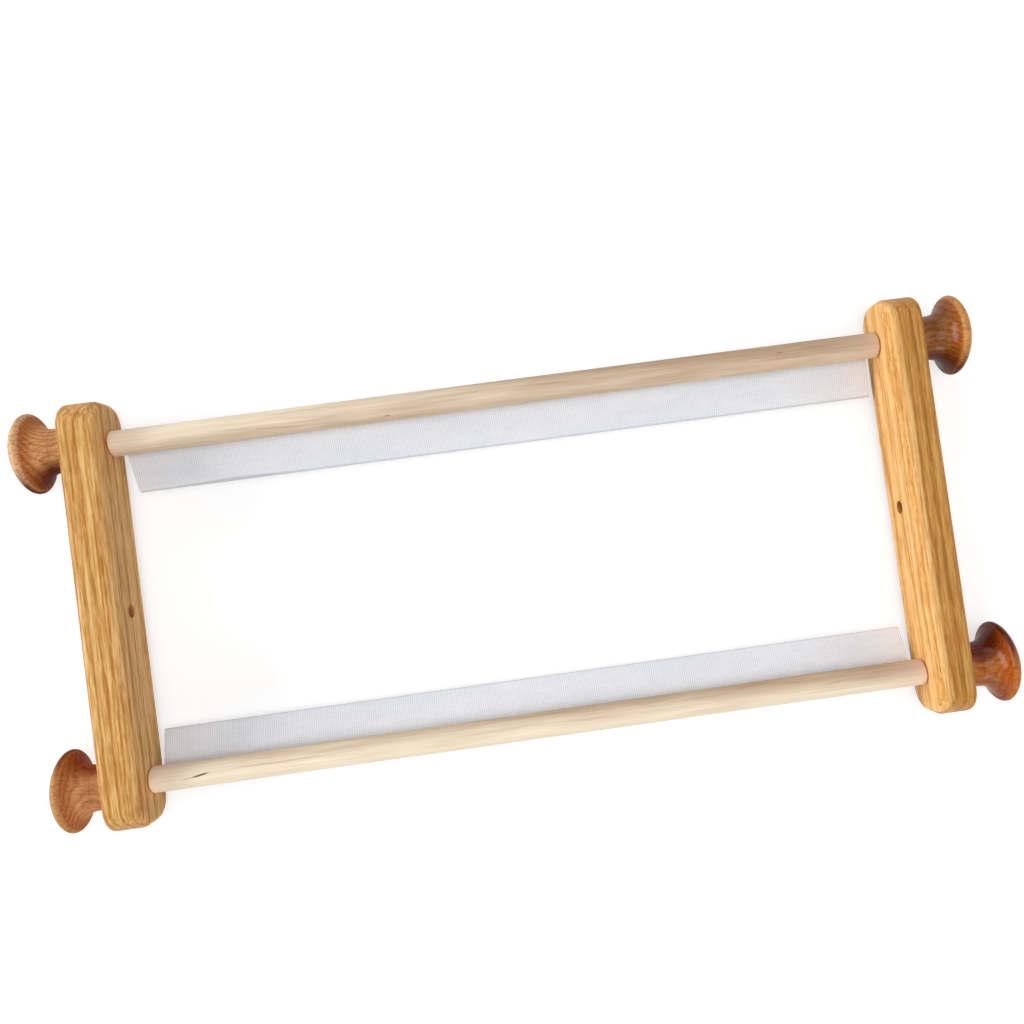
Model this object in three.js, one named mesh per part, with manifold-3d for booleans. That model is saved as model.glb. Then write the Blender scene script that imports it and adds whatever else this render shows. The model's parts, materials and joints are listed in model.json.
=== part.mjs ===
// Scroll-type embroidery frame: two hardwood side bars, two rods that turn between them with a strip
// of cotton webbing on each, and four turned knobs that clamp the rods on threaded bolts.
// Millimetres, +Z up, X along the rods, Y along the side bars. The frame lies flat, as on a table,
// and the origin is on the table under its middle.
import * as THREE from 'three';
import { mergeVertices } from 'three/addons/utils/BufferGeometryUtils.js';
import Module from 'manifold-3d';

const wasm = await Module();
wasm.setup();

// Room left between pieces that touch or turn on each other, and how far a cutter runs past a face.
const fitGap = 0.3;
const cutOverrun = 2;

// Side bars
const workingWidth = 381; // between the inner faces of the two bars
const barThickness = 19.05;
const barHeight = 31.75;
const barLength = 205.4;
const barEdgeRound = 3.2;
const barEndRadius = 11;
const boltHoleFromEnd = 20.6;
const boltHoleDiameter = 6.35;
const standHoleDiameter = 6.35;

// Rods
const rodDiameter = 12.7;
const rodEndRound = 1.2;

// Webbing: part of its width is fixed under the rod, the rest reaches towards the frame's middle
const webbingWidth = 31.75;
const webbingThickness = 0.6;
const upperFixedWidth = 6.9;
const lowerFixedWidth = 7.9;
const webbingEndGap = 3.2; // from its end to the bar's inner face
const upperEndSlant = 4; // how much shorter the free edge is cut at one end
const lowerEndSlant = 0.8;
const webbingSag = 1.6; // how far the free edge drops below a straight line from the rod
const webbingWaveHeight = 1.1; // one low wave in the free edge
const webbingWaveHalfLength = 22;
const webbingWaveFromEnd = 52;
const upperSlopeDegrees = 3; // how far each rod is turned as it lies
const lowerSlopeDegrees = 12;

// Staples that hold the webbing
const stapleCount = 8;
const stapleFromEnd = 34; // from the rod's end to the first staple's middle
const stapleCrown = 10;
const stapleLeg = 5.6;
const stapleWire = 0.9;

// Hanger bolts: a wood thread in the rod, a machine thread through the bar into the knob
const boltDiameter = 4.8;
const boltWoodLength = 19;
const boltPointLength = 5;
const boltInKnob = 10;
const boltEndChamfer = 0.5;

// Washers
const washerDiameter = 12.7;
const washerThickness = 1.25;

// Knobs
const knobDiameter = 39.4;
const knobHeight = 25.4;
const knobBaseDiameter = 23.4;
const knobNeckDiameter = 21.8;
const knobNeckHeight = 6;
const knobUndersideDiameter = 35.2; // where the flare meets the rim
const knobUndersideHeight = 15.9;
const knobFlareShare = 0.66; // how far along the flare its curve is pulled to the neck's line
const knobRimHeight = 17.9;
const knobRimShare = 0.25; // how far up the rim its bulge starts
const knobDomeShare = 1.7; // exponent of the dome's curve: 1 is a cone, 2 an ellipse

// Threaded inserts in the knobs
const insertDiameter = 9.5;
const insertLength = 12.7;
const insertEndChamfer = 0.6;

// Facets
const holeSides = 20;
const barCornerSteps = 6;
const barRoundSteps = 3;
const rodSides = 28;
const rodRoundSteps = 3;
const knobSides = 30;
const knobFlareSteps = 5;
const knobRimSteps = 3;
const knobDomeSteps = 6;
const boltSides = 16;
const webbingColumns = 26;
const webbingFixedRows = 4;
const webbingFreeRows = 6;

// Places that follow from the sizes
const rodOffset = barLength / 2 - boltHoleFromEnd;
const rodRadius = rodDiameter / 2;
const axisHeight = Math.max(knobDiameter, barHeight) / 2;
const rodLength = workingWidth - 2 * fitGap;
const barOuterFace = workingWidth / 2 + barThickness;
const knobBaseFace = barOuterFace + fitGap;
const knobRecessDepth = washerThickness + fitGap;
const boltMachineLength = knobBaseFace + knobRecessDepth + boltInKnob - rodLength / 2;
const boltBore = boltDiameter / 2 + fitGap;
const webbingRadius = rodRadius + fitGap + webbingThickness / 2;
const webbingLength = workingWidth - 2 * webbingEndGap;

const finish = (color, roughness, metalness = 0) =>
  new THREE.MeshStandardMaterial({ color, roughness, metalness });
const materials = {
  bar: finish(0xd9a766, 0.5),
  rod: finish(0xecdcc0, 0.6),
  webbing: finish(0xe9e9ee, 0.9),
  knob: finish(0xa9683c, 0.35),
  steel: finish(0xb9bcc0, 0.35, 1),
  brass: finish(0xc9a24a, 0.3, 1),
};

function closedMesh(geometry) {
  const bare = geometry.index ? geometry.toNonIndexed() : geometry.clone();
  bare.deleteAttribute('normal');
  bare.deleteAttribute('uv');
  return mergeVertices(bare);
}

function toSolid(geometry) {
  const closed = closedMesh(geometry);
  return new wasm.Manifold(
    new wasm.Mesh({
      numProp: 3,
      vertProperties: new Float32Array(closed.attributes.position.array),
      triVerts: new Uint32Array(closed.index.array),
    })
  );
}

function toGeometry(solid) {
  const { vertProperties, triVerts } = solid.getMesh();
  const geometry = new THREE.BufferGeometry();
  geometry.setAttribute('position', new THREE.BufferAttribute(vertProperties, 3));
  geometry.setIndex(new THREE.BufferAttribute(triVerts, 1));
  return geometry;
}

function cut(geometry, tools) {
  return toGeometry(tools.reduce((left, tool) => left.subtract(toSolid(tool)), toSolid(geometry)));
}

function piece(name, geometry, material) {
  const mesh = new THREE.Mesh(geometry, material);
  mesh.name = name;
  return mesh;
}

// A turned shape about the X axis, from [radius, distance along X] points.
function turned(points, sides) {
  const profile = points.map(([radius, along]) => new THREE.Vector2(radius, along));
  return new THREE.LatheGeometry(profile, sides).rotateZ(-Math.PI / 2);
}

// A straight drill along X, centred on (x, y, z).
function drill(radius, length, x, y = 0, z = 0) {
  const bit = new THREE.CylinderGeometry(radius, radius, length, holeSides);
  return bit.rotateZ(Math.PI / 2).translate(x, y, z);
}

// The bar's side view, rounded at its four corners, drawn smaller by the edge's rounding.
function barOutline() {
  const radius = barEndRadius - barEdgeRound;
  const halfLength = barLength / 2 - barEndRadius;
  const halfHeight = barHeight / 2 - barEndRadius;
  const outline = new THREE.Shape();
  const corners = [[1, 1], [-1, 1], [-1, -1], [1, -1]];
  corners.forEach(([alongSide, upSide], quarter) => {
    const start = (quarter * Math.PI) / 2;
    outline.absarc(alongSide * halfLength, upSide * halfHeight, radius, start, start + Math.PI / 2);
  });
  outline.closePath();
  return outline;
}

function sideBar() {
  const bar = new THREE.ExtrudeGeometry(barOutline(), {
    depth: barThickness - 2 * barEdgeRound,
    bevelThickness: barEdgeRound,
    bevelSize: barEdgeRound,
    bevelSegments: barRoundSteps,
    curveSegments: barCornerSteps,
  });
  bar.translate(0, 0, barEdgeRound - barThickness / 2);
  const [alongX, alongY, alongZ] = [0, 1, 2].map((axis) => new THREE.Vector3().setComponent(axis, 1));
  bar.applyMatrix4(new THREE.Matrix4().makeBasis(alongY, alongZ, alongX));
  const through = barThickness + cutOverrun;
  return cut(bar, [
    drill(boltHoleDiameter / 2, through, 0, rodOffset),
    drill(boltHoleDiameter / 2, through, 0, -rodOffset),
    drill(standHoleDiameter / 2, through, 0),
  ]);
}

// Middles of the staples along the rod.
function staplePlaces() {
  const reach = rodLength / 2 - stapleFromEnd;
  return Array.from({ length: stapleCount }, (_, i) => reach * ((2 * i) / (stapleCount - 1) - 1));
}

// How far round the rod the staples sit: over the middle of the webbing's fixed width.
const stapleTurn = (fixedWidth) => fixedWidth / 2 / webbingRadius;

// Slots for one staple's two legs, driven from outside the webbing towards the rod's middle.
function stapleSlots(x, fixedWidth) {
  const width = stapleWire + 2 * fitGap;
  const top = webbingRadius + webbingThickness / 2 + cutOverrun;
  const bottom = webbingRadius + webbingThickness / 2 - stapleLeg;
  return [-1, 1].map((side) =>
    new THREE.BoxGeometry(width, width, top - bottom)
      .translate(x + (side * (stapleCrown - stapleWire)) / 2, 0, -(top + bottom) / 2)
      .rotateX(stapleTurn(fixedWidth))
  );
}

function rod(fixedWidth) {
  const half = rodLength / 2;
  const turns = Array.from({ length: rodRoundSteps + 1 }, (_, i) => (i * Math.PI) / 2 / rodRoundSteps);
  const near = turns.map((turn) => [
    rodRadius - rodEndRound + rodEndRound * Math.sin(turn),
    -half + rodEndRound - rodEndRound * Math.cos(turn),
  ]);
  const far = near.map(([radius, along]) => [radius, -along]).reverse();
  const blank = turned([[0, -half], ...near, ...far, [0, half]], rodSides);
  const boreDepth = boltWoodLength + fitGap;
  const boreMiddle = half - boreDepth / 2 + cutOverrun / 2;
  return cut(blank, [
    drill(boltBore, boreDepth + cutOverrun, boreMiddle),
    drill(boltBore, boreDepth + cutOverrun, -boreMiddle),
    ...staplePlaces().flatMap((x) => stapleSlots(x, fixedWidth)),
  ]);
}

// The webbing's section: a point and its outward normal for each distance from the fixed edge.
function webbingSection(fixedWidth) {
  const rows = [];
  const freeWidth = webbingWidth - fixedWidth;
  const wrap = fixedWidth / webbingRadius;
  for (let i = 0; i < webbingFixedRows; i++) {
    const turn = wrap * (1 - i / webbingFixedRows);
    rows.push({ y: webbingRadius * Math.sin(turn), z: -webbingRadius * Math.cos(turn), turn, reach: 0 });
  }
  for (let i = 0; i <= webbingFreeRows; i++) {
    const reach = i / webbingFreeRows;
    const turn = -2 * Math.atan2(webbingSag, freeWidth) * reach;
    const y = -freeWidth * reach;
    rows.push({ y, z: -webbingRadius - webbingSag * reach * reach, turn, reach });
  }
  return rows;
}

// A closed thin solid from a grid of points with normals, one array of columns for each row.
function sheetSolid(grid, thickness) {
  const rows = grid.length;
  const columns = grid[0].length;
  const positions = [];
  for (const side of [1, -1]) {
    for (const row of grid) {
      for (const { point, normal } of row) {
        positions.push(...point.clone().addScaledVector(normal, (side * thickness) / 2).toArray());
      }
    }
  }
  const at = (side, row, column) => (side * rows + row) * columns + column;
  const index = [];
  const quad = (a, b, c, d) => index.push(a, c, b, a, d, c);
  for (let r = 0; r < rows - 1; r++) {
    for (let c = 0; c < columns - 1; c++) {
      quad(at(0, r, c), at(0, r + 1, c), at(0, r + 1, c + 1), at(0, r, c + 1));
      quad(at(1, r, c), at(1, r, c + 1), at(1, r + 1, c + 1), at(1, r + 1, c));
    }
  }
  for (let c = 0; c < columns - 1; c++) {
    quad(at(0, 0, c), at(0, 0, c + 1), at(1, 0, c + 1), at(1, 0, c));
    quad(at(0, rows - 1, c + 1), at(0, rows - 1, c), at(1, rows - 1, c), at(1, rows - 1, c + 1));
  }
  for (let r = 0; r < rows - 1; r++) {
    quad(at(0, r + 1, 0), at(0, r, 0), at(1, r, 0), at(1, r + 1, 0));
    quad(at(0, r, columns - 1), at(0, r + 1, columns - 1), at(1, r + 1, columns - 1), at(1, r, columns - 1));
  }
  const geometry = new THREE.BufferGeometry();
  geometry.setAttribute('position', new THREE.Float32BufferAttribute(positions, 3));
  geometry.setIndex(index);
  return geometry;
}

function webbing(fixedWidth, endSlant) {
  const waveMiddle = webbingWaveFromEnd - webbingLength / 2;
  const grid = webbingSection(fixedWidth).map(({ y, z, turn, reach }) =>
    Array.from({ length: webbingColumns + 1 }, (_, i) => {
      const start = endSlant * reach - webbingLength / 2;
      const x = start + (webbingLength / 2 - start) * (i / webbingColumns);
      const offset = (x - waveMiddle) / webbingWaveHalfLength;
      const wave = webbingWaveHeight * reach * reach * Math.exp(-offset * offset);
      return {
        point: new THREE.Vector3(x, y, z + wave),
        normal: new THREE.Vector3(0, Math.sin(turn), -Math.cos(turn)),
      };
    })
  );
  const slots = staplePlaces().flatMap((x) => stapleSlots(x, fixedWidth));
  return cut(sheetSolid(grid, webbingThickness), slots);
}

// One staple with its crown along the rod, over the middle of the fixed width.
function staple(x, fixedWidth) {
  const half = stapleCrown / 2;
  const inner = half - stapleWire;
  const crown = webbingRadius + webbingThickness / 2 + fitGap;
  const tip = crown - stapleLeg;
  const outline = new THREE.Shape();
  outline.moveTo(-half, -crown - stapleWire);
  outline.lineTo(half, -crown - stapleWire);
  outline.lineTo(half, -tip);
  outline.lineTo(inner, -tip - stapleWire);
  outline.lineTo(inner, -crown);
  outline.lineTo(-inner, -crown);
  outline.lineTo(-inner, -tip - stapleWire);
  outline.lineTo(-half, -tip);
  outline.closePath();
  const wire = new THREE.ExtrudeGeometry(outline, { depth: stapleWire, bevelEnabled: false });
  return wire
    .translate(x, 0, -stapleWire / 2)
    .rotateX(Math.PI / 2)
    .rotateX(stapleTurn(fixedWidth));
}

// A bolt along +X whose wood thread ends in a point; the rod's end is at zero.
function hangerBolt() {
  const radius = boltDiameter / 2;
  return turned(
    [
      [0, -boltWoodLength],
      [radius, boltPointLength - boltWoodLength],
      [radius, boltMachineLength - boltEndChamfer],
      [radius - boltEndChamfer, boltMachineLength],
      [0, boltMachineLength],
    ],
    boltSides
  );
}

function ring(innerRadius, outerRadius, length, chamfer) {
  return turned(
    [
      [innerRadius, 0],
      [outerRadius - chamfer, 0],
      [outerRadius, chamfer],
      [outerRadius, length - chamfer],
      [outerRadius - chamfer, length],
      [innerRadius, length],
      [innerRadius, 0],
    ],
    holeSides
  );
}

function curvePoints(from, control, to, steps) {
  const curve = new THREE.QuadraticBezierCurve(...[from, control, to].map((p) => new THREE.Vector2(...p)));
  return curve.getPoints(steps).map((p) => p.toArray());
}

// The knob's profile: a bored and recessed base, a flared neck, a rounded rim and a low dome.
function knobProfile() {
  const base = [knobBaseDiameter / 2, 0];
  const neck = [knobNeckDiameter / 2, knobNeckHeight];
  const underside = [knobUndersideDiameter / 2, knobUndersideHeight];
  const flareStart = neck[1] + knobFlareShare * (underside[1] - neck[1]);
  const rim = [knobDiameter / 2, knobRimHeight];
  const bulge = [rim[0], underside[1] + knobRimShare * (rim[1] - underside[1])];
  const recess = washerDiameter / 2 + fitGap;
  const bore = insertDiameter / 2 + fitGap;
  const boreDepth = knobRecessDepth + insertLength + fitGap;
  const dome = [];
  for (let i = 1; i <= knobDomeSteps; i++) {
    const turn = (i / knobDomeSteps) * (Math.PI / 2);
    const radius = rim[0] * Math.max(0, Math.cos(turn)) ** (2 / knobDomeShare);
    dome.push([radius, rim[1] + (knobHeight - rim[1]) * Math.sin(turn) ** (2 / knobDomeShare)]);
  }
  dome[knobDomeSteps - 1] = [0, knobHeight];
  return [
    [0, boreDepth],
    [bore, boreDepth],
    [bore, knobRecessDepth],
    [recess, knobRecessDepth],
    [recess, 0],
    ...curvePoints(base, [neck[0], neck[1] / 2], neck, knobRimSteps),
    ...curvePoints(neck, [neck[0], flareStart], underside, knobFlareSteps).slice(1),
    ...curvePoints(underside, bulge, rim, knobRimSteps).slice(1),
    ...dome,
  ];
}

// What turns as one when a rod is scrolled: the rod, its webbing and staples and its two bolts.
function turningRod({ row, slopeDegrees, fixedWidth, endSlant, sideName }) {
  const group = new THREE.Group();
  group.add(piece(`${row}_rod`, rod(fixedWidth), materials.rod));
  group.add(piece(`${row}_webbing`, webbing(fixedWidth, endSlant), materials.webbing));
  staplePlaces().forEach((x, i) => {
    group.add(piece(`${row}_staple_${i + 1}`, staple(x, fixedWidth), materials.steel));
  });
  for (const end of [1, -1]) {
    const bolt = piece(`${row}_${sideName(end)}_hanger_bolt`, hangerBolt(), materials.steel);
    bolt.position.x = (end * rodLength) / 2;
    bolt.rotation.z = end > 0 ? 0 : Math.PI;
    group.add(bolt);
  }
  group.rotation.x = THREE.MathUtils.degToRad(slopeDegrees);
  return group;
}

// The washer, knob and insert outside one end of a rod, facing +X.
function clampingKnob(corner) {
  const group = new THREE.Group();
  const washer = piece(
    `${corner}_washer`,
    ring(boltBore, washerDiameter / 2, washerThickness, 0),
    materials.steel
  );
  const knob = piece(`${corner}_knob`, turned(knobProfile(), knobSides), materials.knob);
  const insert = piece(
    `${corner}_knob_insert`,
    ring(boltBore, insertDiameter / 2, insertLength, insertEndChamfer),
    materials.brass
  );
  washer.position.x = knobBaseFace;
  knob.position.x = knobBaseFace;
  insert.position.x = knobBaseFace + knobRecessDepth;
  group.add(washer, knob, insert);
  return group;
}

const frame = new THREE.Group();

for (const side of [1, -1]) {
  const bar = piece(side > 0 ? 'right_side_bar' : 'left_side_bar', sideBar(), materials.bar);
  bar.position.set((side * (workingWidth + barThickness)) / 2, 0, axisHeight);
  frame.add(bar);
}

// The lower rod is turned half round from the upper one, so both webbings reach to the middle.
const rows = [
  {
    row: 'upper',
    side: 1,
    slopeDegrees: upperSlopeDegrees,
    fixedWidth: upperFixedWidth,
    endSlant: upperEndSlant,
  },
  {
    row: 'lower',
    side: -1,
    slopeDegrees: lowerSlopeDegrees,
    fixedWidth: lowerFixedWidth,
    endSlant: lowerEndSlant,
  },
];
for (const { row, side, ...lay } of rows) {
  const sideName = (end) => (end * side > 0 ? 'right' : 'left');
  const assembly = new THREE.Group();
  assembly.position.set(0, side * rodOffset, axisHeight);
  assembly.rotation.z = side > 0 ? 0 : Math.PI;
  assembly.add(turningRod({ row, sideName, ...lay }));
  for (const end of [1, -1]) {
    const knob = clampingKnob(`${row}_${sideName(end)}`);
    knob.rotation.z = end > 0 ? 0 : Math.PI;
    assembly.add(knob);
  }
  frame.add(assembly);
}

export default frame;
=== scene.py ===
# A scroll embroidery frame lying flat: two oak side bars, two birch rods edged with cotton webbing, and
# four turned oak knobs that clamp the rods on threaded bolts.
# Metres, +X along the rods, +Y along the side bars, +Z up from the table.
import json
import math

import bmesh
import bpy
import numpy as np
from mathutils import Matrix, Quaternion, Vector, noise


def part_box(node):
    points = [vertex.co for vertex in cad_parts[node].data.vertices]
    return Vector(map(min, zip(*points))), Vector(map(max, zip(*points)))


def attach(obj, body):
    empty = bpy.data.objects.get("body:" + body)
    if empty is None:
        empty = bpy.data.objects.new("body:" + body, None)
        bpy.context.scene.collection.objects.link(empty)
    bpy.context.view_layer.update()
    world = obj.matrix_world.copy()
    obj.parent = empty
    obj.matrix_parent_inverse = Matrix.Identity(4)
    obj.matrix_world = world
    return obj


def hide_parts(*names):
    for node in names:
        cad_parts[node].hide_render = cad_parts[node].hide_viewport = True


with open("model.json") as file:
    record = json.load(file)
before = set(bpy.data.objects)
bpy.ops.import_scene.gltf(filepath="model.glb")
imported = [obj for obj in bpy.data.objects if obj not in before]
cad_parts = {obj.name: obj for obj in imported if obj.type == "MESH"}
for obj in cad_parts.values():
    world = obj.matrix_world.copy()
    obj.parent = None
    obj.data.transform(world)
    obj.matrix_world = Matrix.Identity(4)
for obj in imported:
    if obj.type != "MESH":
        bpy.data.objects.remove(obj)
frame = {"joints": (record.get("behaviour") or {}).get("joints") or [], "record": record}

MM = 0.001
TURN = 2 * math.pi

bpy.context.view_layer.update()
body_of = {node: body for body, nodes in frame["record"]["behaviour"]["bodies"].items() for node in nodes}
joint_at = {joint["name"]: Vector(joint["pos_m"]) for joint in frame["joints"] if "pos_m" in joint}

# Side bars
EDGE_ROUND = 3.2 * MM
CORNER_RADIUS = 11 * MM
BAR_STEP = 1.4 * MM  # between two columns of the mesh along the bar
BAR_ROWS = 10  # of faces, up the bar
BAR_CORNER_STEPS = 8
BAR_ROUND_STEPS = 7
BAR_FLAT_STEPS = 9  # across its thickness, between the rounded edges
BAR_SMOOTH_DEGREES = 35
HAND_SANDING = 0.22 * MM  # how far sanding by hand wanders at the edges
SANDING_WANDER = (30, 45, 60)  # how often it wanders, for a metre across, along and up the bar
BOLT_HOLE_RADIUS = 3.175 * MM
STAND_HOLE_RADIUS = 3.175 * MM
HOLE_MOUTH = 0.15 * MM  # softened rim of each hole
HOLE_SIDES = 48

# Rods
ROD_RADIUS = 6.35 * MM
ROD_END_ROUND = 1.2 * MM
ROD_BORE_RADIUS = 2.7 * MM
ROD_BORE_DEPTH = 19.3 * MM
ROD_OVAL = 0.06 * MM  # how far a rod is out of round
ROD_WANDER = 18  # how often that changes, for a metre of its length
ROD_WANDER_ROUND = 0.8  # how much it changes round the rod
ROD_WANDER_APART = 40  # how much it differs between rods, for a metre between them
ROD_STEPS = 150
ROD_END_STEPS = 6
ROD_SIDES = 96
PINKER_END_LENGTH = 26 * MM  # how far from its ends a rod turns pinker

# Webbing
TAPE_WIDTH = 31.75 * MM
TAPE_THICKNESS = 0.6 * MM
TAPE_FIXED = {"upper": 6.9 * MM, "lower": 7.9 * MM}  # how much of its width lies fixed under the rod
TAPE_GAP = 0.3 * MM  # between rod and webbing
TAPE_RADIUS = ROD_RADIUS + TAPE_GAP + TAPE_THICKNESS / 2
TAPE_END_SLANT = {"upper": 4 * MM, "lower": 0.8 * MM}
TAPE_SAG = 1.6 * MM
TAPE_WAVE_HEIGHT = 1.1 * MM
TAPE_WAVE_HALF_LENGTH = 22 * MM
TAPE_WAVE_FROM_END = 53 * MM
TAPE_LIP = {"upper": 0.7 * MM, "lower": 0.3 * MM}  # how far the free edge turns down
TAPE_LIP_AT_WAVE = {"upper": 1.1 * MM, "lower": 0}  # how much further it turns down at the wave
TAPE_LIP_BEND = 2.2 * MM  # width of the strip that bends
TAPE_SLOPE_DEGREES = {"upper": 3, "lower": 12}
TAPE_STEPS_FIXED = 6
TAPE_STEPS_FREE = 24
TAPE_SMOOTH_DEGREES = 80
TAPE_EDGE = 0.4 * MM  # width of the strip that thins towards each edge
TAPE_EDGE_SHARE = 0.4  # of its thickness that is left there
RIB_PITCH = 1.1 * MM
RIB_HEIGHT = 0.08 * MM
RIB_STEPS = 4  # columns of the mesh to a rib
RIB_FADE = 0.5 * MM  # width of the strip where the ribs fade towards each edge
RIB_EDGE_SHARE = 0.25  # of their height that is left there
WARP_PITCH = 1.25 * MM
SELVEDGE = 1.05 * MM  # from each edge to the thread that binds the ribs down
SELVEDGE_HALF_WIDTH = 0.35 * MM
SELVEDGE_SHARE = 0.55  # of the ribs' height that is left under that thread

# Staples
STAPLE_CROWN = 10 * MM
STAPLE_LEG = 5.6 * MM
STAPLE_WIRE = 0.9 * MM
STAPLE_BEND = 0.55 * MM
STAPLE_GAP = 0.3 * MM  # between webbing and crown
STAPLE_POINT_SLANT = 1.2  # how steeply its points are cut
STAPLES_ON_ROD = 8
WIRE_SIDES = 12
WIRE_SQUARE_SHARE = 0.4  # how far the wire's section is drawn from round to square

# Hanger bolts, with a machine thread of 24 turns to the inch outside and a wood thread inside the rod
BOLT_RADIUS = 2.4 * MM
BOLT_WOOD_LENGTH = 19 * MM
BOLT_POINT = 5 * MM
BOLT_LENGTH = 31.2 * MM  # from the rod's end to the bolt's outer end
BOLT_PLAIN = 3 * MM  # between its two threads
BOLT_PLAIN_DEPTH = 0.2 * MM  # how far that lies under the threads' crests
BOLT_TIP_RADIUS = 0.15 * MM
BOLT_SIDES = 28
MACHINE_PITCH = 25.4 / 24 * MM
MACHINE_DEPTH = 0.5 * MM
MACHINE_CREST = 0.02 * MM  # how far the crests are rolled down
MACHINE_STEPS = 6  # to a turn
WOOD_PITCH = 2.1 * MM
WOOD_DEPTH = 0.75 * MM
WOOD_STEPS = 8  # to a turn
THREAD_STEEPNESS = 1.25  # above 1, the thread's root is flat
THREAD_SMOOTH_DEGREES = 60

# Washers
WASHER_RADIUS = 6.35 * MM
WASHER_BORE_RADIUS = 2.7 * MM
WASHER_THICKNESS = 1.25 * MM
WASHER_EDGE = 0.22 * MM
WASHER_EDGE_STEPS = 3
WASHER_SIDES = 72

# Knobs, as distances from the base face and radii
KNOB_RADIUS = 19.7 * MM
KNOB_HEIGHT = 25.4 * MM
KNOB_BASE_RADIUS = 11.7 * MM
KNOB_NECK_RADIUS = 10.9 * MM
KNOB_NECK_HEIGHT = 6 * MM
KNOB_FLARE_RADIUS = 17.6 * MM
KNOB_FLARE_HEIGHT = 15.9 * MM
KNOB_FLARE_SHARE = 0.66  # how far along the flare its curve is pulled to the neck's line
KNOB_RIM_HEIGHT = 17.9 * MM
KNOB_DOME_POWER = 1.7  # 2 would make the dome an ellipse, and 1 a cone
KNOB_RECESS_RADIUS = 6.65 * MM
KNOB_RECESS_DEPTH = 1.55 * MM
KNOB_BORE_RADIUS = 5.05 * MM
KNOB_BORE_DEPTH = 14.55 * MM
KNOB_CREASE = 0.1 * MM  # depth of the line where the flare starts
KNOB_EDGE = 0.5 * MM
KNOB_QUIRK = 0.15 * MM  # depth of the line between flare and rim
KNOB_RUBBED_FROM = KNOB_FLARE_RADIUS - 0.6 * MM  # where the paler rim starts
KNOB_RUBBED_TO = KNOB_RADIUS - 1 * MM  # and where it is palest
KNOB_EDGE_STEPS = 5
KNOB_NECK_STEPS = 14
KNOB_FLARE_STEPS = 26
KNOB_RIM_STEPS = 10
KNOB_DOME_STEPS = 36
KNOB_SIDES = 128
KNOB_SMOOTH_DEGREES = 30
FLECK_RADIUS = 14 * MM  # where on a knob its flecks have their full width
TOOL_MARK = 0.02 * MM  # depth of the lathe's marks
TOOL_MARKS_ALONG = 900  # how often they change, for a metre of the knob's length
TOOL_MARKS_ROUND = 0.6  # how much they change round it

# Threaded inserts
INSERT_RADIUS = 4.75 * MM
INSERT_LENGTH = 12.7 * MM
INSERT_PITCH = 2.6 * MM
INSERT_DEPTH = 0.6 * MM
INSERT_STEPS = 10  # to a turn
INSERT_SIDES = 40
INSERT_BORE_RADIUS = 2.9 * MM
INSERT_BORE_DEPTH = 0.35 * MM


# Materials

def linear(colour):
    """An sRGB hex colour as linear red, green, blue and alpha."""
    parts = [int(colour[i:i + 2], 16) / 255 for i in (1, 3, 5)]
    return [p / 12.92 if p <= 0.04045 else ((p + 0.055) / 1.055) ** 2.4 for p in parts] + [1]


def add(tree, kind, inputs=None, output=0, stops=None, **settings):
    """Adds a node with its settings, its socket values or links and its ramp's stops. Gives one output.
    By number, a Mix of colours has its share at 0, its colours at 6 and 7 and its result at 2, and a MapRange
    turns 1 to 2 into 3 to 4."""
    made = tree.nodes.new("ShaderNode" + kind)
    for name, value in settings.items():
        setattr(made, name, value)
    for socket, value in (inputs or {}).items():
        if isinstance(value, bpy.types.NodeSocket):
            tree.links.new(value, made.inputs[socket])
        else:
            made.inputs[socket].default_value = linear(value) if isinstance(value, str) else value
    if stops:
        elements = made.color_ramp.elements
        for extra in stops[2:]:
            elements.new(extra[0])
        for element, (place, colour) in zip(elements, stops):
            element.position = place
            element.color = linear(colour) if isinstance(colour, str) else (colour, colour, colour, 1)
    return made.outputs[output]


def start_material(name, **sockets):
    """A new material with the shader's plain values set, as (material, tree, shader)."""
    material = bpy.data.materials.new(name)
    material.use_nodes = True
    shader = material.node_tree.nodes["Principled BSDF"]
    for socket, value in sockets.items():
        value = linear(value) if isinstance(value, str) else value
        shader.inputs[socket.replace("_", " ")].default_value = value
    return material, material.node_tree, shader


def drawn_noise(tree, place, along, length, width, detail=2.0):
    """A noise pattern drawn out along one axis: its marks are about length long and width wide."""
    squeeze = [1 / length if i == along else 1 / width for i in range(3)]
    drawn = add(tree, "VectorMath", {0: place, 1: squeeze}, operation="MULTIPLY")
    return add(tree, "TexNoise", {"Vector": drawn, "Scale": 1, "Detail": detail, "Roughness": 0.55})


def growth_rings(tree, place, along, pith, ring, wanders):
    """Distance across the growth rings, in rings, of wood whose trunk ran along one axis past a pith point.
    wanders are the ways that the rings stray, as (length along the grain, width across it, size in rings)."""
    across = [0 if i == along else 1 for i in range(3)]
    flat = add(tree, "VectorMath", {0: place, 1: across}, operation="MULTIPLY")
    away = add(tree, "VectorMath", {0: flat, 1: pith}, operation="SUBTRACT")
    radius = add(tree, "VectorMath", {0: away}, "Value", operation="LENGTH")
    rings = add(tree, "Math", {0: radius, 1: 1 / ring}, operation="MULTIPLY")
    for length, width, size in wanders:
        wander = drawn_noise(tree, place, along, length, width, 3)
        centred = add(tree, "Math", {0: wander, 1: 0.5}, operation="SUBTRACT")
        rings = add(tree, "Math", {0: centred, 1: size, 2: rings}, operation="MULTIPLY_ADD")
    return rings


def end_grain(tree, normal, along, low, high, most):
    """How much the surface cuts across the fibres: 0 where it runs along them, most where it crosses them."""
    steep = add(tree, "SeparateXYZ", {0: normal}, along)
    steep = add(tree, "Math", {0: steep}, operation="ABSOLUTE")
    return add(tree, "MapRange", {0: steep, 1: low, 2: high, 4: most}, interpolation_type="SMOOTHSTEP")


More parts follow.
